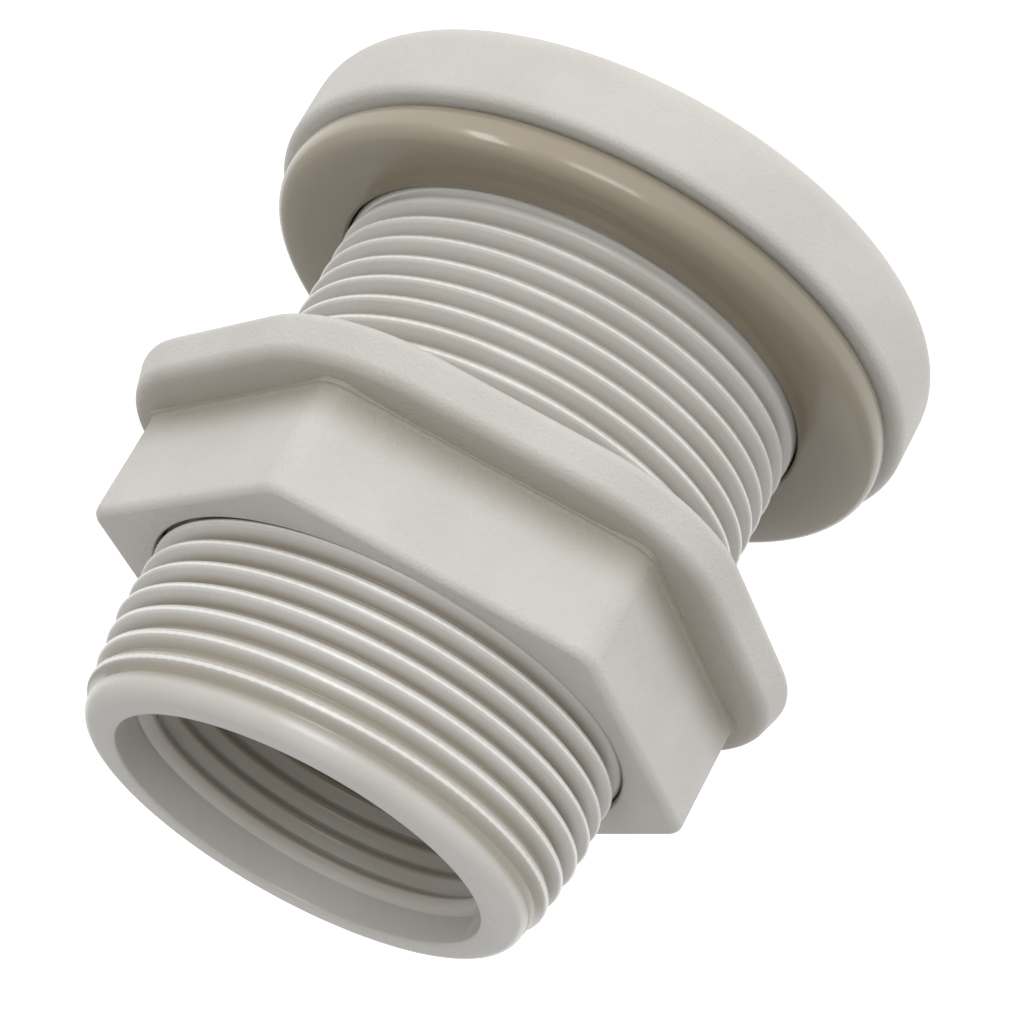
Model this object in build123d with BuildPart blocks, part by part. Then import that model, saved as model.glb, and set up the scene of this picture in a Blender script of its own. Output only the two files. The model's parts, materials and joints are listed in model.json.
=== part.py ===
"""Tank connector: a flanged, threaded body with its sealing gasket and its flanged clamping nut.

The fitting stands on its head. z = 0 is the head flange's outer face, and +Z runs along the waterway to the
open, threaded end. The nut's corners lie on the X axis. All sizes are in millimetres.
"""

import os

from build123d import *

os.makedirs("parts", exist_ok=True)

# The body's outline, from the head to the open end
LENGTH = 68.0
HEAD_R = 33.2
HEAD_THICK = 8.8
HEAD_FACE_CHAMFER = 1.6
HEAD_SEAT_CHAMFER = 0.7

# The barrel is as wide as the crests of its thread, which end at a narrower plain lip.
BARREL_R = 23.9
LIP_WALL = 3.8
LIP_BAND = 2.6
LIP_STEP = 1.0
LIP_CHAMFER = 1.3

# The thread is G 1 1/2, 11 turns to the inch. Its turns are drawn as level rings, sharp at crest and root.
# Over the lead-in the crests are turned down to a slight cone, while the roots keep their diameter.
THREAD_PITCH = 2.309
THREAD_DEPTH = 1.479
THREAD_RUN_OUT = 2.6
LEAD_IN = 6.0
LEAD_IN_DROP = 1.0

# The mouth is wide enough for the inner thread's own diameter. The inner thread ends at a sloped shoulder.
MOUTH_R = 18.5
MOUTH_DEPTH = 3.0
MOUTH_CHAMFER = 0.5
INNER_THREAD_DEPTH = 1.1
INNER_THREAD_LENGTH = 16.0
WATERWAY_R = 15.5
WATERWAY_CHAMFER = 1.2

# The gasket lies against the underside of the head, loose round the shank.
GASKET_OVERLAP = 7.8
GASKET_THICK = 4.0
GASKET_CLEARANCE = 0.2

# The nut is a rounded hexagon on a wider washer flange, whose outline swells at each of its corners.
NUT_TRAVEL_TO_GASKET = 21.7
NUT_CLEARANCE = 0.15
NUT_SIDES = 6
NUT_WALL = 2.8
NUT_HEIGHT = 16.2
NUT_CORNER_ROUND = 3.0
NUT_FACE_CHAMFER = 0.9
WASHER_LEDGE = 5.15
WASHER_THICK = 4.9
WASHER_LOBE_ROUND = 17.8
WASHER_FACE_CHAMFER = 1.3
WASHER_SEAT_CHAMFER = 1.0
NUT_BORE_CHAMFER = 0.6

# Sizes that follow from the ones above
lip_r = MOUTH_R + LIP_WALL
lip_z = LENGTH - LIP_BAND
thread_top_z = lip_z - LIP_STEP
lead_in_z = thread_top_z - LEAD_IN
inner_crest_r = MOUTH_R - INNER_THREAD_DEPTH
mouth_z = LENGTH - MOUTH_DEPTH
inner_thread_top = mouth_z - INNER_THREAD_DEPTH
inner_thread_end = inner_thread_top - INNER_THREAD_LENGTH
shoulder_z = inner_thread_end - (inner_crest_r - WATERWAY_R)
gasket_hole_r = BARREL_R + GASKET_CLEARANCE
gasket_r = gasket_hole_r + GASKET_OVERLAP
gasket_seal_z = HEAD_THICK + GASKET_THICK
nut_seat_z = gasket_seal_z + NUT_TRAVEL_TO_GASKET
nut_face_z = nut_seat_z + NUT_HEIGHT
crease_z = nut_seat_z + WASHER_THICK
nut_bore_r = BARREL_R + NUT_CLEARANCE
nut_flat_r = nut_bore_r + NUT_WALL
washer_flat_r = nut_flat_r + WASHER_LEDGE
thread_root_r = BARREL_R - THREAD_DEPTH
thread_turns = int((thread_top_z - gasket_seal_z - THREAD_RUN_OUT) / THREAD_PITCH)
thread_low_z = thread_top_z - thread_turns * THREAD_PITCH


def crest_r(z):
    """The radius of the thread's crest at a height."""
    return BARREL_R - LEAD_IN_DROP * max(0, (z - lead_in_z) / LEAD_IN)


# Crest and root of each turn, from the plain shank up to the last crest before the lip
thread_outline = []
for turn in range(thread_turns):
    crest_z = thread_low_z + turn * THREAD_PITCH
    thread_outline.append((crest_r(crest_z), crest_z))
    thread_outline.append((thread_root_r, crest_z + THREAD_PITCH / 2))


def corner(profile, r, z):
    """The profile's corner nearest the given radius and height."""
    return profile.vertices().sort_by_distance((r, z, 0))[0]


# Body: one revolved moulding
with BuildPart() as body:
    with BuildSketch(Plane.XZ) as body_profile:
        with BuildLine():
            Polyline(
                (WATERWAY_R, 0),
                (HEAD_R, 0),
                (HEAD_R, HEAD_THICK),
                (BARREL_R, HEAD_THICK),
                *thread_outline,
                (crest_r(thread_top_z), thread_top_z),
                (lip_r, lip_z),
                (lip_r, LENGTH),
                (MOUTH_R, LENGTH),
                (MOUTH_R, mouth_z),
                (inner_crest_r, inner_thread_top),
                (inner_crest_r, inner_thread_end),
                (WATERWAY_R, shoulder_z),
                close=True,
            )
        make_face()
        chamfer(corner(body_profile, WATERWAY_R, 0), WATERWAY_CHAMFER)
        chamfer(corner(body_profile, HEAD_R, 0), HEAD_FACE_CHAMFER)
        chamfer(corner(body_profile, HEAD_R, HEAD_THICK), HEAD_SEAT_CHAMFER)
        chamfer(corner(body_profile, lip_r, LENGTH), LIP_CHAMFER)
        chamfer(corner(body_profile, MOUTH_R, LENGTH), MOUTH_CHAMFER)
    revolve(axis=Axis.Z)

# Gasket: a flat ring cut from sheet
with BuildPart() as gasket:
    with BuildSketch(Plane.XY.offset(HEAD_THICK)):
        Circle(gasket_r)
        Circle(gasket_hole_r, mode=Mode.SUBTRACT)
    extrude(amount=GASKET_THICK)

# Nut: the washer flange, the hexagon standing on it, their broken edges and the bore
with BuildPart() as nut:
    with BuildSketch(Plane.XY.offset(nut_seat_z)) as washer_outline:
        RegularPolygon(washer_flat_r, NUT_SIDES, major_radius=False)
        fillet(washer_outline.vertices(), WASHER_LOBE_ROUND)
    extrude(amount=WASHER_THICK)
    washer_face = nut.faces().sort_by(Axis.Z)[-1]
    chamfer(washer_face.edges(), WASHER_FACE_CHAMFER)
    washer_seat = nut.faces().sort_by(Axis.Z)[0]
    chamfer(washer_seat.edges(), WASHER_SEAT_CHAMFER)
    with BuildSketch(Plane.XY.offset(crease_z)) as hexagon:
        RegularPolygon(nut_flat_r, NUT_SIDES, major_radius=False)
        fillet(hexagon.vertices(), NUT_CORNER_ROUND)
    extrude(amount=nut_face_z - crease_z)
    hex_face = nut.faces().sort_by(Axis.Z)[-1]
    chamfer(hex_face.edges(), NUT_FACE_CHAMFER)
    with Locations((0, 0, nut_seat_z)):
        Cylinder(
            nut_bore_r,
            NUT_HEIGHT,
            align=(Align.CENTER, Align.CENTER, Align.MIN),
            mode=Mode.SUBTRACT,
        )
    bore_rims = nut.edges().filter_by(GeomType.CIRCLE).filter_by(
        lambda edge: abs(edge.radius - nut_bore_r) < NUT_CLEARANCE / 2
    )
    chamfer(bore_rims, NUT_BORE_CHAMFER)

body.part.label = "body"
gasket.part.label = "gasket"
nut.part.label = "nut"

export_step(body.part, "parts/body.step")
export_step(gasket.part, "parts/gasket.step")
export_step(nut.part, "parts/nut.step")
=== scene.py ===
# %% [markdown]
# Tank connector, dressed for the camera.
#
# A tank connector carries a pipe through a tank wall. Its body has a round head, a gasket that lies against
# the head, and a long threaded barrel on which a flanged hexagon nut turns to clamp the wall. The solids are
# already made at their real size, so the file loads them first. It then models what they simplify, the turns
# of the two threads and the soft moulded edges, and gives each piece the finish that the photograph shows.

# %% Load the frame
import json
from math import asin, atan2, cos, hypot, pi, radians, sin, tan, tau

import bmesh
import bpy
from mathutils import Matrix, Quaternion, Vector

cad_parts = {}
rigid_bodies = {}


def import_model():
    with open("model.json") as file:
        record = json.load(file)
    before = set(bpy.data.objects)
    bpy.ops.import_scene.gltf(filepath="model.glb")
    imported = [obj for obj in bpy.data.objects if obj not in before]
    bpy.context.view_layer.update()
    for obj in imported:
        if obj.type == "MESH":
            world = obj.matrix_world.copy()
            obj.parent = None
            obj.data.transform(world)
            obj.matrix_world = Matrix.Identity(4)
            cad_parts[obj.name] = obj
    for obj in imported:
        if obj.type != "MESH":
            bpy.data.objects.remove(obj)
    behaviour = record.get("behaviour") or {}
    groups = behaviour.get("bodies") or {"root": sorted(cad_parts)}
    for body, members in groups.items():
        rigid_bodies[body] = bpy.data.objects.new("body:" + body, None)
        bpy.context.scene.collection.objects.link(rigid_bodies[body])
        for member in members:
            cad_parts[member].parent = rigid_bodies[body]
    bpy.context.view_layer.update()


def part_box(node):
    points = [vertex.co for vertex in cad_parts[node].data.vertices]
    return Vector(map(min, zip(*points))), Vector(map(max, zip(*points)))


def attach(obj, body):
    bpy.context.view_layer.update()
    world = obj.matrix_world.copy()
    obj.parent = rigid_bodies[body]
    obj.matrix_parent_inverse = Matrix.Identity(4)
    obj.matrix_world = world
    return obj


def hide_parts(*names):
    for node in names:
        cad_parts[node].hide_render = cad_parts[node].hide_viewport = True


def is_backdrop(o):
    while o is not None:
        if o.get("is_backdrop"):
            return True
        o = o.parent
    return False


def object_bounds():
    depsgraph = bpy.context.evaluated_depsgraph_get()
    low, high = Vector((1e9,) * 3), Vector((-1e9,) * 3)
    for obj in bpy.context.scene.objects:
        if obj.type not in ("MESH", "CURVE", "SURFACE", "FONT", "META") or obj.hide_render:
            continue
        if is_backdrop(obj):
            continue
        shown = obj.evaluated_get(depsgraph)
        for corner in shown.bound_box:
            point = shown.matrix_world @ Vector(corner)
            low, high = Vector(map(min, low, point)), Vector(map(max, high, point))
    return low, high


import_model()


def rounded(place, digits):
    return tuple(round(c, digits) for c in place)


# %% [markdown]
# Everything is in metres, in the frame of the solids: z = 0 is the outer face of the head, and +Z runs along
# the barrel to the open end. Sizes of whole pieces are read from the solids' own boxes, so that a dressed
# piece always stands where its solid does. Only what a box can't tell, such as the barrel's radius, is
# written here.

# %% Sizes of the pieces
MM = 0.001

_, body_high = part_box("body")
gasket_low, gasket_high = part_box("gasket")
nut_low, nut_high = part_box("nut")

LENGTH = body_high.z
HEAD_R = body_high.y
HEAD_THICK = gasket_low.z
HEAD_FACE_ROUND = 2.9 * MM
HEAD_SEAT_ROUND = 0.9 * MM
SHANK_ROOT_ROUND = 0.4 * MM

BARREL_R = 23.9 * MM
LIP_R = 22.2 * MM
LIP_BAND = 2.1 * MM
LIP_STEP = 0.5 * MM
LIP_ROUND = 1.9 * MM
MOUTH_R = 18.5 * MM
MOUTH_DEPTH = 3.0 * MM
MOUTH_ROUND = 0.35 * MM
WATERWAY_R = 15.5 * MM
WATERWAY_ROUND = 1.2 * MM


def in_mm(size):
    """A size as it is printed."""
    return round(size / MM, 2)


print("in mm: length", in_mm(LENGTH), "head radius", in_mm(HEAD_R), "head thickness", in_mm(HEAD_THICK))

# %% [markdown]
# An operator acts on all that is selected, and the loaded solids come in selected. So each new piece starts
# with a clean slate: leave edit mode, deselect everything, and only then add the primitive. What an operator
# then works on is selected in code, by its place or by the way it faces.

# %% A clean slate, and the selection by place
# How near two points lie to count as one, and two heights to count as level
SAME_POINT = 0.002 * MM
SAME_LEVEL = 0.01 * MM


def clean_slate():
    if bpy.context.object and bpy.context.object.mode == "EDIT":
        bpy.ops.object.mode_set(mode="OBJECT")
    bpy.ops.object.select_all(action="DESELECT")


def work_on(piece):
    clean_slate()
    piece.select_set(True)
    bpy.context.view_layer.objects.active = piece


def select_where(kind, wanted):
    """In edit mode, selects each VERT, EDGE or FACE that a test accepts, and returns their number."""
    mesh = bmesh.from_edit_mesh(bpy.context.object.data)
    bpy.ops.mesh.select_mode(type=kind)
    bpy.ops.mesh.select_all(action="DESELECT")
    elements = {"VERT": mesh.verts, "EDGE": mesh.edges, "FACE": mesh.faces}[kind]
    chosen = [element for element in elements if wanted(element)]
    for element in chosen:
        element.select_set(True)
    mesh.select_flush_mode()
    bmesh.update_edit_mesh(bpy.context.object.data)
    return len(chosen)


def lies_level(edge, height):
    return all(abs(v.co.z - height) < SAME_LEVEL for v in edge.verts)


def weld():
    """In edit mode, makes points that lie on each other one."""
    bpy.ops.mesh.select_all(action="SELECT")
    bpy.ops.mesh.remove_doubles(threshold=SAME_POINT)


print("helpers ready, points merge within", SAME_POINT / MM, "mm")

# %% [markdown]
# A lathe profile or a thread's tooth is only a line of points. By hand it is drawn by placing one vertex and
# extruding it from point to point. The line lies in the XZ plane, with its distance from the axis as X. The
# Screw modifier then winds it: with a lift for each turn it makes a helix, and with none it is a lathe.

# %% Draw a profile and wind it
TURN_STEPS = 128
SMOOTH_ANGLE = radians(40)


def draw_profile(name, points):
    """A line of vertices through (radius, height) points, drawn by extruding one vertex."""
    clean_slate()
    first = (points[0][0], 0, points[0][1])
    bpy.ops.mesh.primitive_plane_add(size=MM, location=first)
    piece = bpy.context.object
    piece.name = name
    piece.data.name = name
    bpy.ops.object.transform_apply(location=True, rotation=True, scale=True)
    bpy.ops.object.mode_set(mode="EDIT")
    bpy.ops.mesh.select_mode(type="VERT")
    bpy.ops.mesh.select_all(action="SELECT")
    bpy.ops.mesh.merge(type="CENTER")
    for (r0, z0), (r1, z1) in zip(points, points[1:]):
        bpy.ops.mesh.extrude_vertices_move(TRANSFORM_OT_translate={"value": (r1 - r0, 0, z1 - z0)})
    bpy.ops.object.mode_set(mode="OBJECT")
    return piece


def wind(piece, lift, turns, merge_ends):
    """Winds a drawn line round the axis, with a lift for each turn, and stays in edit mode."""
    bpy.ops.object.modifier_add(type="SCREW")
    screw = piece.modifiers[-1]
    screw.axis = "Z"
    screw.angle = tau
    screw.screw_offset = lift
    screw.iterations = turns
    screw.steps = TURN_STEPS
    screw.render_steps = TURN_STEPS
    screw.use_merge_vertices = merge_ends
    screw.merge_threshold = SAME_POINT
    bpy.ops.object.modifier_apply(modifier=screw.name)
    bpy.ops.object.mode_set(mode="EDIT")
    weld()


def finish_skin():
    """In edit mode, turns all faces of a closed skin outwards. Then leaves it and smooths its shading."""
    bpy.ops.mesh.select_all(action="SELECT")
    bpy.ops.mesh.normals_make_consistent(inside=False)
    bpy.ops.object.mode_set(mode="OBJECT")
    bpy.ops.object.shade_smooth_by_angle(angle=SMOOTH_ANGLE)


def arc_points(centre, radius, start, end, steps):
    """Points on a round from one angle to another, in degrees, both ends included."""
    angles = [radians(start + (end - start) * k / steps) for k in range(steps + 1)]
    return [(centre[0] + radius * cos(a), centre[1] + radius * sin(a)) for a in angles]


print("a full turn has", TURN_STEPS, "steps")

# %% [markdown]
# The outer thread is a pipe thread, 11 turns to the inch. On this moulding its crests are full and round, so
# that each turn shades from light to dark, and its roots are narrow dark lines. It could be carved into the
# barrel as separate rings, but rings would show no slope, and a real nut could not climb them. Winding gives
# the true helix: the drawn tooth goes round the axis and up one pitch for each turn, so that the last point
# of one turn meets the first of the next. The tooth's flank is the straight line that touches the rounds of
# the crest and the root, and its slope follows from pitch, depth and the two rounds.

# %% One tooth of the thread
PITCH = 2.309 * MM
THREAD_DEPTH = 1.479 * MM
CREST_ROUND = 0.52 * MM
ROOT_ROUND = 0.08 * MM
CREST_STEPS = 5
ROOT_STEPS = 2


def tooth(depth, outward):
    """Points of one tooth from crest to crest. outward is 1 on a barrel, -1 in a bore."""
    rounds = CREST_ROUND + ROOT_ROUND
    rise = depth - rounds
    slope = atan2(rise, PITCH / 2) + asin(rounds / hypot(rise, PITCH / 2))
    crest_angles = [slope * k / CREST_STEPS for k in range(CREST_STEPS + 1)]
    root_angles = [slope * k / ROOT_STEPS for k in range(ROOT_STEPS, -1, -1)]
    crest = [(CREST_ROUND * (1 - cos(a)), CREST_ROUND * sin(a)) for a in crest_angles]
    root = [(depth - ROOT_ROUND * (1 - cos(a)), PITCH / 2 - ROOT_ROUND * sin(a)) for a in root_angles]
    half = crest + root
    other = [(sunk, PITCH - along) for sunk, along in reversed(half[:-1])]
    return [(-outward * sunk, along) for sunk, along in half + other]


print("points in a tooth", len(tooth(THREAD_DEPTH, 1)))

# %% [markdown]
# One helper winds both threads. It starts whole turns lower than the thread is needed and ends higher, so
# that both ragged ends of the helix fall outside the part that is kept. The turns leave the modifier as
# separate strips whose edges meet, and merging those points makes them one sheet.

# %% Wind a thread
CUT_GAP = 0.001 * MM


def wind_thread(name, crest_r, depth, outward, start, turns):
    """A helical surface of whole turns that starts with a crest at the given height on +X."""
    points = [(crest_r + sunk, start + along) for sunk, along in tooth(depth, outward)]
    piece = draw_profile(name, points)
    wind(piece, lift=PITCH, turns=turns, merge_ends=False)
    bpy.ops.object.mode_set(mode="OBJECT")
    return piece


def smooth_step(value, start, end):
    """0 before start, 1 past end, and an even S-curve between them."""
    t = min(max((value - start) / (end - start), 0), 1)
    return t * t * (3 - 2 * t)


def set_radius(vertex, radius):
    """Moves a vertex straight in or out from the axis."""
    share = radius / hypot(vertex.co.x, vertex.co.y)
    vertex.co.x *= share
    vertex.co.y *= share


def cut_level(height, keep_above):
    """In edit mode, cuts the piece square across and keeps one side."""
    bpy.ops.mesh.select_all(action="SELECT")
    bpy.ops.mesh.bisect(
        plane_co=(0, 0, height),
        plane_no=(0, 0, 1),
        clear_inner=keep_above,
        clear_outer=not keep_above,
        threshold=CUT_GAP,
    )


# A crest's height on the +X side, less whole turns, sets where the turns pass the nut and the lip.
CREST_PHASE = 0.31 * MM
FIRST_TURN = 3
thread_start = CREST_PHASE + FIRST_TURN * PITCH
barrel = wind_thread("body_moulding", BARREL_R, THREAD_DEPTH, outward=1, start=thread_start, turns=26)
print("outer thread", len(barrel.data.polygons), "faces")

# %% [markdown]
# A thread doesn't stop dead. Below, it runs out into a plain shank behind the gasket. At the open end its
# crests are turned down to a slight cone, while its roots keep their diameter, and the last one steps in to
# a short plain lip, so that the nut finds its way on. Both ends are shaped by moving wound vertices in or
# out from the axis, after which a level cut gives a clean round edge.

# %% Run out, lead in and trim the outer thread
RUN_OUT_START = 12.3 * MM
RUN_OUT_END = 14.4 * MM
SHANK_SPARE = 0.3 * MM
LEAD_IN = 7.2 * MM
LEAD_IN_DROP = 1.0 * MM
LIP_BLEND = 0.3 * MM
root_r = BARREL_R - THREAD_DEPTH
lip_z = LENGTH - LIP_BAND
thread_top = lip_z - LIP_STEP
lead_in_z = thread_top - LEAD_IN
shank_cut = RUN_OUT_START - SHANK_SPARE

for vertex in barrel.data.vertices:
    height = vertex.co.z
    radius = hypot(vertex.co.x, vertex.co.y)
    crest_r = BARREL_R - LEAD_IN_DROP * min(max((height - lead_in_z) / LEAD_IN, 0), 1)
    sunk = (BARREL_R - radius) / THREAD_DEPTH * smooth_step(height, RUN_OUT_START, RUN_OUT_END)
    new_radius = crest_r - sunk * (crest_r - root_r)
    new_radius += (LIP_R - new_radius) * smooth_step(height, thread_top - LIP_BLEND, lip_z)
    set_radius(vertex, new_radius)

work_on(barrel)
bpy.ops.object.mode_set(mode="EDIT")
cut_level(shank_cut, keep_above=True)
cut_level(lip_z, keep_above=False)
print("outer thread trimmed between", in_mm(shank_cut), "and", in_mm(lip_z), "mm")

# %% [markdown]
# The plain parts of the body are drawn on from the thread's round edges: an edge ring is extruded, scaled
# to its next radius and moved to its next height, as a lathe profile is followed. This keeps the whole
# moulding one skin, with no seam between the thread and the shank.

# %% Follow a profile from an edge ring
def pull_ring(radius, height):
    """Extrudes the selected round edge to a new radius and height."""
    mesh = bmesh.from_edit_mesh(bpy.context.object.data)
    corner = next(v for v in mesh.verts if v.select)
    old_radius = hypot(corner.co.x, corner.co.y)
    old_height = corner.co.z
    bpy.ops.mesh.extrude_edges_move(TRANSFORM_OT_translate={"value": (0, 0, height - old_height)})
    share = radius / old_radius
    bpy.ops.transform.resize(value=(share, share, 1), center_override=(0, 0, 0))


def follow(points):
    for radius, height in points:
        pull_ring(radius, height)


def open_edge_at(height):
    """Selects the open round edges at one height, and returns the number of their edges."""
    return select_where("EDGE", lambda edge: edge.is_boundary and lies_level(edge, height))


rise_centre = (BARREL_R + SHANK_ROOT_ROUND, HEAD_THICK + SHANK_ROOT_ROUND)
head_rise = arc_points(rise_centre, SHANK_ROOT_ROUND, 180, 270, steps=3)
seat_centre = (HEAD_R - HEAD_SEAT_ROUND, HEAD_THICK - HEAD_SEAT_ROUND)
head_seat = arc_points(seat_centre, HEAD_SEAT_ROUND, 90, 0, steps=5)
head_face = arc_points((HEAD_R - HEAD_FACE_ROUND, HEAD_FACE_ROUND), HEAD_FACE_ROUND, 0, -90, steps=10)
print("edges in the shank's ring", open_edge_at(shank_cut))
follow(head_rise + head_seat + head_face)

lip_outer = arc_points((LIP_R - LIP_ROUND, LENGTH - LIP_ROUND), LIP_ROUND, 0, 90, steps=9)
print("edges in the lip's ring", open_edge_at(lip_z))
follow(lip_outer)
bpy.ops.object.mode_set(mode="OBJECT")

# %% [markdown]
# The mouth has its own thread for a pipe end. It is wound the same way, with the tooth turned to point at
# the axis. Its crests start a little way in, behind a plain entry. It ends at a sloped shoulder where the
# smooth waterway goes on through the head.

# %% The inner thread and the waterway
INNER_DEPTH = 1.1 * MM
INNER_PHASE = 1.1 * MM
INNER_LENGTH = 16.0 * MM
INNER_SPARE_TURNS = 2
# How far in from each end of the inner thread its groove fades
INNER_FADE_START = 0.2 * MM
INNER_FADE_END = 2.2 * MM
ENTRY_FADE = 1.6 * MM
inner_crest_r = MOUTH_R - INNER_DEPTH
inner_top = LENGTH - MOUTH_DEPTH
inner_end = inner_top - INNER_DEPTH - INNER_LENGTH
inner_start = inner_end - INNER_SPARE_TURNS * PITCH + INNER_PHASE
bore = wind_thread("mouth_thread", inner_crest_r, INNER_DEPTH, outward=-1, start=inner_start, turns=10)

for vertex in bore.data.vertices:
    height = vertex.co.z
    sunk = hypot(vertex.co.x, vertex.co.y) - inner_crest_r
    groove = smooth_step(height, inner_end + INNER_FADE_START, inner_end + INNER_FADE_END)
    grooved = inner_crest_r + sunk * groove
    opened = smooth_step(height, inner_top - ENTRY_FADE, inner_top)
    set_radius(vertex, grooved + (MOUTH_R - grooved) * opened)

work_on(bore)
bpy.ops.object.mode_set(mode="EDIT")
cut_level(inner_end, keep_above=True)
cut_level(inner_top, keep_above=False)
shoulder_z = inner_end - (inner_crest_r - WATERWAY_R)
waterway = [(WATERWAY_R, shoulder_z)]
waterway += arc_points((WATERWAY_R + WATERWAY_ROUND, WATERWAY_ROUND), WATERWAY_ROUND, 180, 270, steps=5)
mouth_edge = arc_points((MOUTH_R + MOUTH_ROUND, LENGTH - MOUTH_ROUND), MOUTH_ROUND, 180, 90, steps=4)
print("edges in the shoulder's ring", open_edge_at(inner_end))
follow(waterway)
print("edges in the mouth's ring", open_edge_at(inner_top))
follow(mouth_edge)
bpy.ops.object.mode_set(mode="OBJECT")

# %% [markdown]
# Outer and inner skins now end in pairs of rings on two flat faces: the lip and the head's outer face. Both
# meshes are joined, and the flat between each pair of rings is filled. That closes the moulding. Bridging
# the rings would twist, because a cut thread leaves each of them with its own number of edges. Only then are
# the normals made consistent, because a closed skin has an outside and an inside.

# %% Close the body moulding
work_on(barrel)
bore.select_set(True)
bpy.ops.object.join()
body_moulding = bpy.context.object
bpy.ops.object.mode_set(mode="EDIT")
for level in (LENGTH, 0.0):
    print("fill at", in_mm(level), "mm between", open_edge_at(level), "edges")
    bpy.ops.mesh.fill(use_beauty=True)
finish_skin()


def report_skin(piece):
    """Prints whether a piece is closed, which way it faces, and how many triangles it has."""
    mesh = bmesh.new()
    mesh.from_mesh(piece.data)
    open_edges = sum(not edge.is_manifold for edge in mesh.edges)
    volume = round(mesh.calc_volume(signed=True) / MM**3)
    triangles = sum(len(face.verts) - 2 for face in mesh.faces)
    mesh.free()
    print(piece.name, "open edges", open_edges, "volume", volume, "mm3, triangles", triangles)


report_skin(body_moulding)

# %% [markdown]
# The gasket is one flat ring of soft translucent rubber. Nothing on it repeats or climbs, so it is turned on
# the lathe in one go. Its outer edges are well rounded, as a moulded seal's are, and catch the light as one
# thin line. The nut comes down to the gasket's face at the end of its travel, so that face stays a hair
# under the nut's seat.

# %% Turn the gasket
GASKET_HOLE_R = 24.1 * MM
GASKET_ROUND = 1.6 * MM
GASKET_INNER_ROUND = 0.4 * MM
GASKET_PLAY = 0.02 * MM
gasket_r = gasket_high.y
gasket_top = gasket_high.z - GASKET_PLAY


def turn_on_lathe(name, points):
    """A closed ring turned from a closed section, given without repeating its first point."""
    piece = draw_profile(name, points + points[:1])
    wind(piece, lift=0, turns=1, merge_ends=True)
    finish_skin()
    return piece


hole_centre = (GASKET_HOLE_R + GASKET_INNER_ROUND, gasket_top - GASKET_INNER_ROUND)
top_centre = (gasket_r - GASKET_ROUND, gasket_top - GASKET_ROUND)
low_centre = (gasket_r - GASKET_ROUND, gasket_low.z + GASKET_ROUND)
gasket_section = (
    arc_points(hole_centre, GASKET_INNER_ROUND, 180, 90, steps=4)
    + arc_points(top_centre, GASKET_ROUND, 90, 0, steps=7)
    + arc_points(low_centre, GASKET_ROUND, 0, -90, steps=7)
    + [(GASKET_HOLE_R, gasket_low.z)]
)
gasket_ring = turn_on_lathe("gasket_ring", gasket_section)
report_skin(gasket_ring)

# %% [markdown]
# The nut takes a hand or a wrench. It is a hexagon with softly rounded corners that grows out of a washer
# flange, whose outline swells at each corner of the hexagon and is drawn in a little between them. Both
# outlines start as six-sided cylinders, each with its upright edges bevelled to a radius of its own. The
# flange's rim then leans in a little and its face slopes up to the hexagon, as on a moulding that has to
# leave its mould.

# %% Two six-sided blocks
SIDES = 6
NUT_FLAT_R = 26.85 * MM
NUT_CORNER_ROUND = 3.0 * MM
NUT_FACE_ROUND = 0.9 * MM
WASHER_FLAT_R = 32.0 * MM
WASHER_THICK = 4.9 * MM
WASHER_RIM = 4.0 * MM
WASHER_RIM_LEAN = 0.965
WASHER_SLOPE = 0.86
WASHER_LOBE_ROUND = 17.8 * MM
WASHER_FACE_ROUND = 1.0 * MM
WASHER_SEAT_ROUND = 1.1 * MM
CREASE_ROUND = 0.35 * MM
# A bevel profile of 0.5 is a true round only in a square corner. A corner of 120 degrees needs a fuller one.
SQUARE_CORNER_PROFILE = 0.5
WIDE_CORNER_PROFILE = 0.536
# The Z of its normal that a face has to pass to count as one that looks straight up or down
LOOKS_UP = 0.9
rim_z = nut_low.z + WASHER_RIM
crease_z = nut_low.z + WASHER_THICK


def six_sided_block(name, flat_r, corner_round, low, high, steps):
    """A hexagonal block with corners on the X axis, and its upright edges rounded. Stays in edit mode."""
    clean_slate()
    depth = high - low
    bpy.ops.mesh.primitive_cylinder_add(
        vertices=SIDES,
        radius=flat_r / cos(pi / SIDES),
        depth=depth,
        location=(0, 0, (low + high) / 2),
        rotation=(0, 0, pi / 2),
    )
    piece = bpy.context.object
    piece.name = name
    piece.data.name = name
    bpy.ops.object.transform_apply(location=True, rotation=True, scale=True)
    bpy.ops.object.mode_set(mode="EDIT")
    select_where("EDGE", lambda edge: abs(edge.verts[0].co.z - edge.verts[1].co.z) > depth / 2)
    # The round's tangent points lie its radius times tan(30 degrees) away from the corner.
    bpy.ops.mesh.bevel(
        offset=corner_round * tan(pi / SIDES),
        offset_type="OFFSET",
        segments=steps,
        profile=WIDE_CORNER_PROFILE,
    )
    return piece


def bevel_rim(height, size, steps):
    """In edit mode, rounds the outline edges that lie at one height."""
    select_where("EDGE", lambda edge: lies_level(edge, height))
    bpy.ops.mesh.bevel(offset=size, offset_type="OFFSET", segments=steps, profile=SQUARE_CORNER_PROFILE)


def widen(share):
    """In edit mode, scales what is selected towards or away from the axis."""
    bpy.ops.transform.resize(value=(share, share, 1), center_override=(0, 0, 0))


def pull_faces(rise):
    """In edit mode, extrudes the selected faces straight up, or down where rise is negative."""
    bpy.ops.mesh.extrude_region_move(TRANSFORM_OT_translate={"value": (0, 0, rise)})


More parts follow.
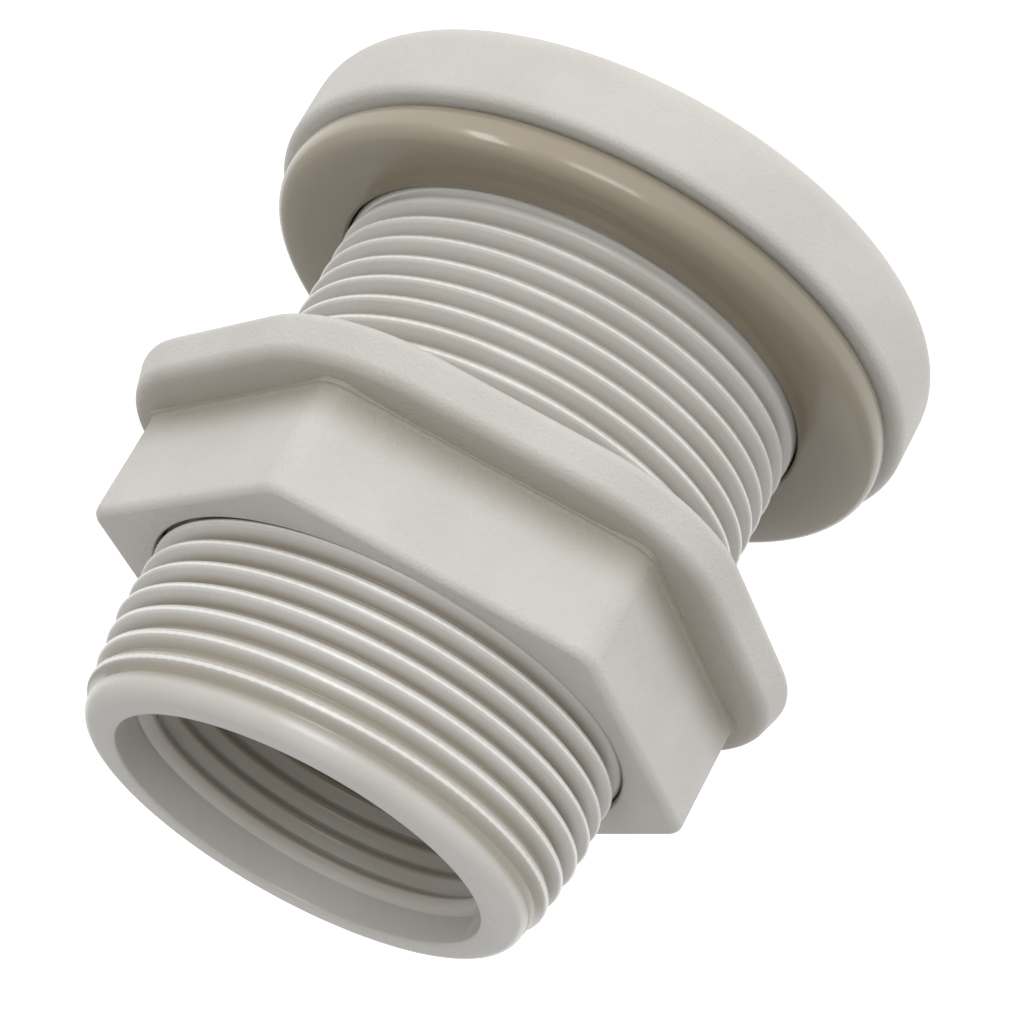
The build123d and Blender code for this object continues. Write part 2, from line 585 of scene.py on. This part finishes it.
nut_moulding = six_sided_block(
    "nut_moulding", WASHER_FLAT_R, WASHER_LOBE_ROUND, low=nut_low.z, high=rim_z, steps=20
)
select_where("FACE", lambda face: face.normal.z > LOOKS_UP)
widen(WASHER_RIM_LEAN)
pull_faces(crease_z - rim_z)
widen(WASHER_SLOPE)
bevel_rim(rim_z, WASHER_FACE_ROUND, steps=6)
bevel_rim(nut_low.z, WASHER_SEAT_ROUND, steps=5)
bpy.ops.object.mode_set(mode="OBJECT")
print("washer flange reaches", in_mm(max(v.co.x for v in nut_moulding.data.vertices)), "mm at its corners")

# %% [markdown]
# The hexagon meets the flange in a small fillet, as moulded nuts do. Its foot is pulled out of its lower
# face in short steps that follow a quarter circle, each one a little wider than the last, and is then sunk
# into the flange so that the two blocks overlap.

# %% The hexagon on its flared foot
FOOT_STEPS = 4
FOOT_SUNK = 1.0 * MM

hexagon = six_sided_block(
    "hexagon", NUT_FLAT_R, NUT_CORNER_ROUND, low=crease_z + CREASE_ROUND, high=nut_high.z, steps=8
)
bevel_rim(nut_high.z, NUT_FACE_ROUND, steps=5)
select_where("FACE", lambda face: face.normal.z < -LOOKS_UP)
foot_angles = [pi / 2 * k / FOOT_STEPS for k in range(FOOT_STEPS + 1)]
foot = [(CREASE_ROUND * (1 - cos(a)), CREASE_ROUND * sin(a)) for a in foot_angles]
for (out0, down0), (out1, down1) in zip(foot, foot[1:]):
    pull_faces(down0 - down1)
    widen((NUT_FLAT_R + out1) / (NUT_FLAT_R + out0))
pull_faces(-FOOT_SUNK)
bpy.ops.object.mode_set(mode="OBJECT")
report_skin(hexagon)

# %% [markdown]
# The two blocks become one moulding with a Boolean union, and a turned plug then cuts the bore. The plug is
# wider at both ends, so the cut leaves a soft lead at each rim with no bevel to be picked out afterwards. A
# turned ring always has a hole, so the cut leaves a thin core on the axis, which is deleted last.

# %% Join the nut and cut its bore
NUT_BORE_R = 24.05 * MM
BORE_LEAD = 0.3 * MM
PLUG_SPARE = 2.0 * MM
PLUG_CORE_R = 1.0 * MM
NUT_SMOOTH_ANGLE = radians(35)


def merge_in(piece, tool, operation):
    """Applies a Boolean between two meshes, then removes the tool."""
    work_on(piece)
    bpy.ops.object.modifier_add(type="BOOLEAN")
    modifier = piece.modifiers[-1]
    modifier.operation = operation
    modifier.object = tool
    modifier.solver = "EXACT"
    bpy.ops.object.modifier_apply(modifier=modifier.name)
    bpy.data.objects.remove(tool)


merge_in(nut_moulding, hexagon, "UNION")
report_skin(nut_moulding)

lead_r = NUT_BORE_R + BORE_LEAD
plug_low = nut_low.z - PLUG_SPARE
plug_high = nut_high.z + PLUG_SPARE
plug_section = (
    [(PLUG_CORE_R, plug_low), (lead_r, plug_low)]
    + arc_points((lead_r, nut_low.z + BORE_LEAD), BORE_LEAD, 270, 180, steps=4)
    + arc_points((lead_r, nut_high.z - BORE_LEAD), BORE_LEAD, 180, 90, steps=4)
    + [(lead_r, plug_high), (PLUG_CORE_R, plug_high)]
)
plug = turn_on_lathe("bore_plug", plug_section)
merge_in(nut_moulding, plug, "DIFFERENCE")

work_on(nut_moulding)
bpy.ops.object.mode_set(mode="EDIT")
select_where("VERT", lambda vertex: hypot(vertex.co.x, vertex.co.y) < 2 * PLUG_CORE_R)
bpy.ops.mesh.select_linked()
bpy.ops.mesh.delete(type="VERT")
weld()
bpy.ops.object.mode_set(mode="OBJECT")
bpy.ops.object.shade_smooth_by_angle(angle=NUT_SMOOTH_ANGLE)
bpy.ops.object.modifier_add(type="WEIGHTED_NORMAL")
weighting = nut_moulding.modifiers[-1]
weighting.keep_sharp = True
bpy.ops.object.modifier_apply(modifier=weighting.name)
report_skin(nut_moulding)

# %% [markdown]
# Each dressed piece stands for its solid and moves with its body: the moulding and the gasket with the
# fitting, the nut by itself along the barrel.

# %% Put the pieces on their bodies
for piece, node, body, slot_name in (
    (body_moulding, "body", "fitting", "moulded_plastic"),
    (gasket_ring, "gasket", "fitting", "seal_rubber"),
    (nut_moulding, "nut", "clamping_nut", "moulded_plastic"),
):
    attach(piece, body)
    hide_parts(node)
    print(piece.name, "rides on", body)

# %% [markdown]
# Shader maths reads best as plain sums. This small class wraps a socket, so that a + b or 1 - mask adds the
# Math node it stands for. It is for numbers only, because a Math node would turn a colour grey. The second
# class is one material. It gives every finish below its height along the barrel and its distance from the
# axis, both read from the piece's own coordinates.

# %% Sums of sockets
class Level:
    """A number that varies over a surface, as the output of a shader node."""

    def __init__(self, finish, socket):
        self.finish = finish
        self.socket = socket

    def __add__(self, other):
        return self.finish.math("ADD", self, other)

    def __radd__(self, other):
        return self.finish.math("ADD", other, self)

    def __sub__(self, other):
        return self.finish.math("SUBTRACT", self, other)

    def __rsub__(self, other):
        return self.finish.math("SUBTRACT", other, self)

    def __mul__(self, other):
        return self.finish.math("MULTIPLY", self, other)

    def __rmul__(self, other):
        return self.finish.math("MULTIPLY", other, self)


class Finish:
    """One material, with short ways to add nodes to it."""

    def __init__(self, name):
        self.material = bpy.data.materials.new(name)
        self.material.use_nodes = True
        self.tree = self.material.node_tree
        self.shader = self.tree.nodes["Principled BSDF"]
        self.place = self.node("ShaderNodeTexCoord", {}, {}).outputs["Object"]
        parts = self.node("ShaderNodeSeparateXYZ", {}, {0: self.place}).outputs
        x, y, self.height = [Level(self, part) for part in parts]
        self.radius = self.math("POWER", x * x + y * y, 0.5)

    def node(self, kind, settings, inputs):
        """Adds a node of one kind, makes its settings and then sets or links its sockets."""
        node = self.tree.nodes.new(kind)
        for key, value in settings.items():
            setattr(node, key, value)
        for key, value in inputs.items():
            self.feed(node.inputs[key], value)
        return node

    def feed(self, socket, value):
        """Links a socket or a Level, or sets a plain value."""
        if isinstance(value, Level):
            value = value.socket
        if isinstance(value, bpy.types.NodeSocket):
            self.tree.links.new(value, socket)
        else:
            socket.default_value = value

    def set(self, **values):
        """Sets or links the shader's own sockets, named with _ for a space."""
        for key, value in values.items():
            self.feed(self.shader.inputs[key.replace("_", " ")], value)

    def math(self, operation, first, second):
        """One Math node on two numbers."""
        node = self.node("ShaderNodeMath", {"operation": operation}, {0: first, 1: second})
        return Level(self, node.outputs[0])

    def noise(self, size, detail, roughness=0.5):
        """Soft noise whose blotches are about as large as the size given, from 0 to 1."""
        settings = {"noise_dimensions": "3D"}
        inputs = {"Vector": self.place, "Scale": 1 / size, "Detail": detail, "Roughness": roughness}
        return Level(self, self.node("ShaderNodeTexNoise", settings, inputs).outputs["Fac"])

    def blend(self, factor, first, second):
        """A colour between two others."""
        node = self.node("ShaderNodeMix", {"data_type": "RGBA"}, {0: factor, 6: first, 7: second})
        return node.outputs[2]

    def step(self, value, start, end):
        """0 where the value is under start, 1 over end, and an even S-curve between them."""
        settings = {"interpolation_type": "SMOOTHSTEP"}
        inputs = {"Value": value, "From Min": start, "From Max": end}
        return Level(self, self.node("ShaderNodeMapRange", settings, inputs).outputs[0])

    def bump(self, height, depth):
        """Normals of a surface that rises by the depth given where the height is 1."""
        return self.node("ShaderNodeBump", {}, {"Height": height, "Distance": depth}).outputs[0]


def wear(piece, finish):
    piece.data.materials.clear()
    piece.data.materials.append(finish.material)
    print(piece.name, "wears", finish.material.name)


# %% [markdown]
# The body and the nut are moulded in one warm off-white plastic. The head and the nut have a fine grain,
# as faces have that come out of a blasted mould, while the threads come from polished inserts and are
# smoother. A real moulding is never one flat colour: it has very faint clouds where the melt cooled at
# different speeds. Grain and clouds are noise on the object's own coordinates, at their real size.
#
# Light goes a little way into this plastic and comes back warmer. The roots of the threads and the crease
# round the nut also get painted shade: a warmer and deeper tone than the open faces, on top of the shade
# that the lights give. Where they lie is known from height and distance from the axis, so soft steps of
# those two are enough to place them. The inside of the mouth gets painted shade too, more on the crests of
# its thread than in the roots, because the lights leave those roots dark by themselves.
#
# Each crest carries a thin, sharp reflection, which these soft lights don't draw. A paler plastic on the
# very top of each crest stands in for it as a painted highlight.

# %% Colours of the plastic, its painted shade and painted highlight, and where they go
PLASTIC = (0.57, 0.553, 0.522, 1)
PLASTIC_SHADE = (0.545, 0.525, 0.49, 1)
# Painted shade: the colour of the thread roots, the nut's crease and the inside of the mouth
PLASTIC_PAINTED_SHADE = (0.29, 0.255, 0.20, 1)
# Painted highlight: the colour of the top of each crest, in place of its reflection
PLASTIC_PAINTED_HIGHLIGHT = (0.88, 0.87, 0.85, 1)
CLOUD_SIZE = 9 * MM
CLOUD_EDGES = (0.35, 0.65)
GRAIN_SIZE = 0.30 * MM
BODY_GRAIN_DEPTH = 0.09 * MM
NUT_GRAIN_DEPTH = 0.10 * MM
THREAD_GRAIN_SHARE = 0.05
THREAD_ROUGHNESS = 0.22
BLASTED_ROUGHNESS_ADDED = 0.26
GRAIN_ROUGHNESS_ADDED = 0.08

# Each pair says where a soft step starts and ends. These are distances from the axis.
BLASTED_FROM = (24.0 * MM, 24.3 * MM)
OFF_BARREL = (BARREL_R + 0.02 * MM, BARREL_R + 0.05 * MM)
ROOT_TO_CREST = (root_r, BARREL_R - 0.3 * MM)
OUTER_WALL = (21.0 * MM, 21.6 * MM)
BORE_WALL = (18.8 * MM, 19.2 * MM)
BORE_CREST_TO_ROOT = (inner_crest_r, MOUTH_R)
# These are heights.
END_OF_RUN_OUT = (14 * MM, 16 * MM)
BEHIND_TO_PAST_NUT = (30 * MM, 50 * MM)
START_OF_LIP = (lip_z - 0.2 * MM, lip_z + 0.8 * MM)
INSIDE_TO_MOUTH = (LENGTH - 9 * MM, LENGTH - 0.5 * MM)
UP_TO_CREASE = (rim_z - 1.2 * MM, crease_z)
OVER_CREASE = (crease_z, crease_z + 4.5 * MM)
# This is a depth under the top of a crest.
CREST_LINE = (0.009 * MM, 0.026 * MM)

# How much of the painted highlight the crest line has, and how much painted shade each place has
CREST_LINE_SHARE = 0.6
ROOT_SHARE = 0.45
ROOT_SHARE_ADDED_PAST_NUT = 0.4
BORE_CREST_SHARE = 0.95
BORE_SHARE_LOST_IN_ROOTS = 0.75
BORE_SHARE_LEFT_AT_MOUTH = 0.45
CREASE_SHARE = 0.8

print("open plastic", PLASTIC[:3], "corner tone", PLASTIC_PAINTED_SHADE[:3])

# %% Moulded plastic
def painted_crest_highlight(finish):
    """Where the painted highlight lies: 1 along the very top of the outer thread's crests, also where the
    lead-in lowers them.
    """
    lowered = LEAD_IN_DROP / LEAD_IN * finish.math("MAXIMUM", finish.height - lead_in_z, 0.0)
    top = 1 - finish.step(BARREL_R - lowered - finish.radius, *CREST_LINE)
    past_shank = finish.step(finish.height, *END_OF_RUN_OUT)
    before_lip = 1 - finish.step(finish.height, thread_top, lip_z)
    on_thread = past_shank * before_lip
    return top * on_thread * (1 - finish.step(finish.radius, *OFF_BARREL))


def painted_thread_shade(finish):
    """How much painted shade the body has: in the outer thread's roots and inside the mouth."""
    near_root = 1 - finish.step(finish.radius, *ROOT_TO_CREST)
    outside = finish.step(finish.radius, *OUTER_WALL)
    under_lip = 1 - finish.step(finish.height, *START_OF_LIP)
    in_bore = 1 - finish.step(finish.radius, *BORE_WALL)
    bore_root = finish.step(finish.radius, *BORE_CREST_TO_ROOT)
    bore_depth = 1 - finish.step(finish.height, *INSIDE_TO_MOUTH)
    bore_share = BORE_CREST_SHARE - BORE_SHARE_LOST_IN_ROOTS * bore_root
    bore = bore_share * (BORE_SHARE_LEFT_AT_MOUTH + (1 - BORE_SHARE_LEFT_AT_MOUTH) * bore_depth)
    root_share = ROOT_SHARE + ROOT_SHARE_ADDED_PAST_NUT * finish.step(finish.height, *BEHIND_TO_PAST_NUT)
    return root_share * near_root * outside * under_lip + bore * in_bore


def painted_crease_shade(finish):
    """How much painted shade the nut has: round the foot of its hexagon."""
    below = finish.step(finish.height, *UP_TO_CREASE)
    above = 1 - finish.step(finish.height, *OVER_CREASE)
    return CREASE_SHARE * below * above


def moulded_plastic(name, grain_depth, corners):
    """corners takes the finish and gives the share of painted shade, the darker corner tone, 0 on open
    faces.
    """
    finish = Finish(name)
    clouds = finish.noise(CLOUD_SIZE, detail=3.0)
    grain = finish.noise(GRAIN_SIZE, detail=2.0, roughness=0.6)
    blasted = finish.step(finish.radius, *BLASTED_FROM)
    grained = THREAD_GRAIN_SHARE + (1 - THREAD_GRAIN_SHARE) * blasted
    open_colour = finish.blend(finish.step(clouds, *CLOUD_EDGES), PLASTIC_SHADE, PLASTIC)
    # Painted shade: the corner colour darkens the roots, the crease and the mouth.
    shaded = finish.blend(corners(finish), open_colour, PLASTIC_PAINTED_SHADE)
    finish.set(
        # Painted highlight: paler plastic along the tops of the crests.
        Base_Color=finish.blend(CREST_LINE_SHARE * painted_crest_highlight(finish), shaded, PLASTIC_PAINTED_HIGHLIGHT),
        Roughness=THREAD_ROUGHNESS + BLASTED_ROUGHNESS_ADDED * blasted + GRAIN_ROUGHNESS_ADDED * grain,
        Normal=finish.bump(grain * grained, grain_depth),
        Subsurface_Weight=0.1,
        Subsurface_Radius=(1.0, 0.9, 0.75),
        Subsurface_Scale=0.5 * MM,
    )
    return finish


wear(body_moulding, moulded_plastic("body_plastic", BODY_GRAIN_DEPTH, painted_thread_shade))
wear(nut_moulding, moulded_plastic("nut_plastic", NUT_GRAIN_DEPTH, painted_crease_shade))

# %% [markdown]
# The gasket is glossy, slightly translucent rubber. Light enters it and comes out olive, so it gets a share
# of subsurface scattering under a clear coat. Near its outer edge light gets in from the side too, and this
# light is painted: the colour turns paler towards the rim with distance from the axis. A fine bloom, the
# dust that rubber sweats out, breaks up its gloss a little.

# %% Seal rubber
RUBBER = (0.205, 0.172, 0.115, 1)
# Painted light: the paler colour near the outer edge, where light comes in from the side
RUBBER_RIM_PAINTED_LIGHT = (0.275, 0.24, 0.18, 1)
RUBBER_RIM_FROM = 28.0 * MM
RUBBER_CLOUD_SIZE = 8 * MM
RIM_SHARE_BETWEEN_CLOUDS = 0.7
RUBBER_ROUGHNESS = 0.28
BLOOM_SIZE = 0.6 * MM
BLOOM_DEPTH = 0.003 * MM
BLOOM_ROUGHNESS_ADDED = 0.08


def seal_rubber(name):
    finish = Finish(name)
    clouds = finish.noise(RUBBER_CLOUD_SIZE, detail=1.0)
    bloom = finish.noise(BLOOM_SIZE, detail=1.0)
    rim = finish.step(finish.radius, RUBBER_RIM_FROM, gasket_r)
    clouded = RIM_SHARE_BETWEEN_CLOUDS + (1 - RIM_SHARE_BETWEEN_CLOUDS) * clouds
    finish.set(
        # Painted light: paler towards the outer edge.
        Base_Color=finish.blend(rim * clouded, RUBBER, RUBBER_RIM_PAINTED_LIGHT),
        Roughness=RUBBER_ROUGHNESS + BLOOM_ROUGHNESS_ADDED * bloom,
        Normal=finish.bump(bloom, BLOOM_DEPTH),
        Subsurface_Weight=0.3,
        Subsurface_Radius=(1.0, 0.85, 0.5),
        Subsurface_Scale=1.5 * MM,
        Coat_Weight=0.4,
        Coat_Roughness=0.06,
    )
    return finish


wear(gasket_ring, seal_rubber("gasket_rubber"))

# %% [markdown]
# The fitting stands on its head on a pale table. In the photograph the light is nearly even, as in a white
# tent, so the table gives light as well: it glows a little.

# %% The table
TABLE_R = 4.0
TABLE_GLOW = 0.6

clean_slate()
bpy.ops.mesh.primitive_circle_add(vertices=64, radius=TABLE_R, fill_type="NGON", location=(0, 0, 0))
table = bpy.context.object
table.name = "pale_table"
table_finish = Finish("pale_table")
table_finish.set(
    Base_Color=(0.85, 0.85, 0.85, 1),
    Roughness=0.7,
    Emission_Color=(1.0, 1.0, 1.0, 1),
    Emission_Strength=TABLE_GLOW,
)
wear(table, table_finish)
table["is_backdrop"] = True

# %% [markdown]
# The rest of the tent is the room's own even light. Two soft boxes give the faces their slow change from the
# middle to the sides. The sharp glint on the gasket's edge is the mirror image of a tall narrow strip at the
# right. Its place follows from the camera's place and the edge's slope where the photograph shows the
# glint. The strip is linked to the gasket alone, as a studio flags a lamp off the rest of the set.

# %% Soft boxes, strip and room
MIDDLE = (0, 0, LENGTH / 2)
GLINT_SPOT = (0.014, -0.028, 0.0117)
ROOM_LIGHT = 0.62


def soft_box(name, place, aim, width, height, power):
    clean_slate()
    bpy.ops.object.light_add(type="AREA", location=place)
    light = bpy.context.object
    light.name = name
    light.data.shape = "RECTANGLE"
    light.data.size = width
    light.data.size_y = height
    light.data.energy = power
    light.rotation_mode = "QUATERNION"
    light.rotation_quaternion = (Vector(aim) - Vector(place)).to_track_quat("-Z", "Y")
    print(name, "at", rounded(place, 2))
    return light


soft_box("front_box", (0.20, -0.78, 0.22), MIDDLE, width=0.35, height=0.35, power=1.9)
soft_box("back_box", (-0.3, 0.7, 0.5), MIDDLE, width=0.55, height=0.55, power=0.2)
strip = soft_box("glint_strip", (0.40, -0.27, 0.15), GLINT_SPOT, width=0.09, height=0.30, power=0.7)
gasket_only = bpy.data.collections.new("gasket_only")
gasket_only.objects.link(gasket_ring)
strip.light_linking.receiver_collection = gasket_only

world = bpy.data.worlds.new("dim_room")
world.use_nodes = True
background = world.node_tree.nodes["Background"]
background.inputs["Color"].default_value = (1, 1, 1, 1)
background.inputs["Strength"].default_value = ROOM_LIGHT
bpy.context.scene.world = world
bpy.context.scene.view_settings.view_transform = "Standard"

# %% [markdown]
# The photograph was taken with a long lens, and its frame is turned: the fitting's head is at the top right.
# The camera stands where the outlines of the head, gasket, nut and mouth come nearest to those in
# the photograph. It looks a little down on the open end, and is rolled about its own line of sight.

# %% Camera
CAMERA_PLACE = Vector((-10.6, -301.0, 161.8)) * MM
CAMERA_AIM = Vector((-3.27, -13.8, 36.3)) * MM
CAMERA_ROLL = radians(-150.85)
LENS = 123.05
SENSOR_WIDTH = 36.0
NEAREST = 0.01

clean_slate()
bpy.ops.object.camera_add(location=CAMERA_PLACE)
camera = bpy.context.object
camera.data.sensor_width = SENSOR_WIDTH
camera.data.lens = LENS
camera.data.clip_start = NEAREST
camera.rotation_mode = "QUATERNION"
level_view = (CAMERA_AIM - CAMERA_PLACE).to_track_quat("-Z", "Y")
camera.rotation_quaternion = level_view @ Quaternion((0, 0, 1), CAMERA_ROLL)
bpy.context.scene.camera = camera
print("camera", round((CAMERA_AIM - CAMERA_PLACE).length / MM), "mm from its aim")

# %% [markdown]
# Last, the box round the dressed pieces is printed. It should agree closely with the box round the solids,
# because a soft edge or a leaning rim may take a little away but adds nothing.

# %% Boxes and the end
dressed_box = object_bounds()
for end, corner in zip(("low", "high"), dressed_box):
    print("dressed pieces,", end, "corner", rounded(corner, 4))
